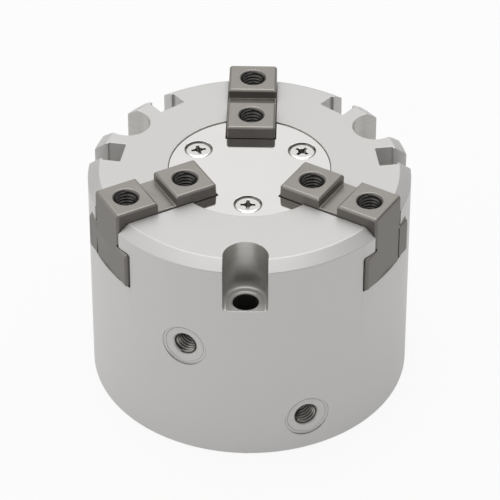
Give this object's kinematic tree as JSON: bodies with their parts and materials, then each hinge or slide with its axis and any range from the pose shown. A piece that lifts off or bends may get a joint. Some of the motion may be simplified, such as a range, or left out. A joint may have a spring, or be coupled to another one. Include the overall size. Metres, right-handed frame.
{
  "type": "three jaw centric gripper",
  "caption": "Round pneumatic gripper whose three radial jaws slide outwards together from the centre, driven by a piston and wedge cam.",
  "frame": {"origin": "centre of the base on the gripper's axis", "axes": "+Z along the gripper's axis towards the jaws, +Y towards the rear jaw"},
  "size_m": [0.07, 0.07, 0.0546],
  "materials": {
    "body_metal": "bead-blasted, clear anodised",
    "polished_plate": "polished",
    "bright_screw": "bright plated",
    "jaw_steel": "ground, hardened",
    "inner_aluminium": "machined",
    "cap_metal": "machined, anodised",
    "rod_steel": "hard chromed",
    "spring_steel": "phosphated",
    "bronze": "sintered",
    "seal_rubber": "moulded",
    "damper_rubber": "moulded",
    "guide_plastic": "filled",
    "magnet": "bonded"
  },
  "bodies": {
    "housing": {"body": "body_metal", "cover_plate": "polished_plate", "cover_screws": "bright_screw", "rod_cover": "inner_aluminium", "rod_bush": "bronze", "rod_seal": "seal_rubber", "rod_cover_oring": "seal_rubber", "upper_damper": "damper_rubber", "lower_damper": "damper_rubber", "end_cap": "cap_metal", "cap_oring": "seal_rubber", "snap_ring": "spring_steel"},
    "piston_group": {"piston": "inner_aluminium", "piston_seal": "seal_rubber", "wear_ring": "guide_plastic", "magnet_ring": "magnet", "piston_rod": "rod_steel", "piston_bolt": "spring_steel", "wedge_cam": "jaw_steel"},
    "back_finger": {"back_jaw": "jaw_steel"},
    "left_finger": {"left_jaw": "jaw_steel"},
    "right_finger": {"right_jaw": "jaw_steel"}
  },
  "joints": [
    {"name": "piston_slide", "type": "slide", "parent": "housing", "child": "piston_group", "axis": [0, 0, 1], "range_m": [0, 0.006]},
    {"name": "back_jaw_slide", "type": "slide", "parent": "housing", "child": "back_finger", "axis": [0, 1, 0], "range_m": [0, 0.006]},
    {"name": "left_jaw_slide", "type": "slide", "parent": "housing", "child": "left_finger", "axis": [-0.866, -0.5, 0], "range_m": [0, 0.006]},
    {"name": "right_jaw_slide", "type": "slide", "parent": "housing", "child": "right_finger", "axis": [0.866, -0.5, 0], "range_m": [0, 0.006]}
  ],
  "couplings": [
    {"joint": "back_jaw_slide", "follows": "piston_slide", "ratio": 1},
    {"joint": "left_jaw_slide", "follows": "piston_slide", "ratio": 1},
    {"joint": "right_jaw_slide", "follows": "piston_slide", "ratio": 1}
  ]
}
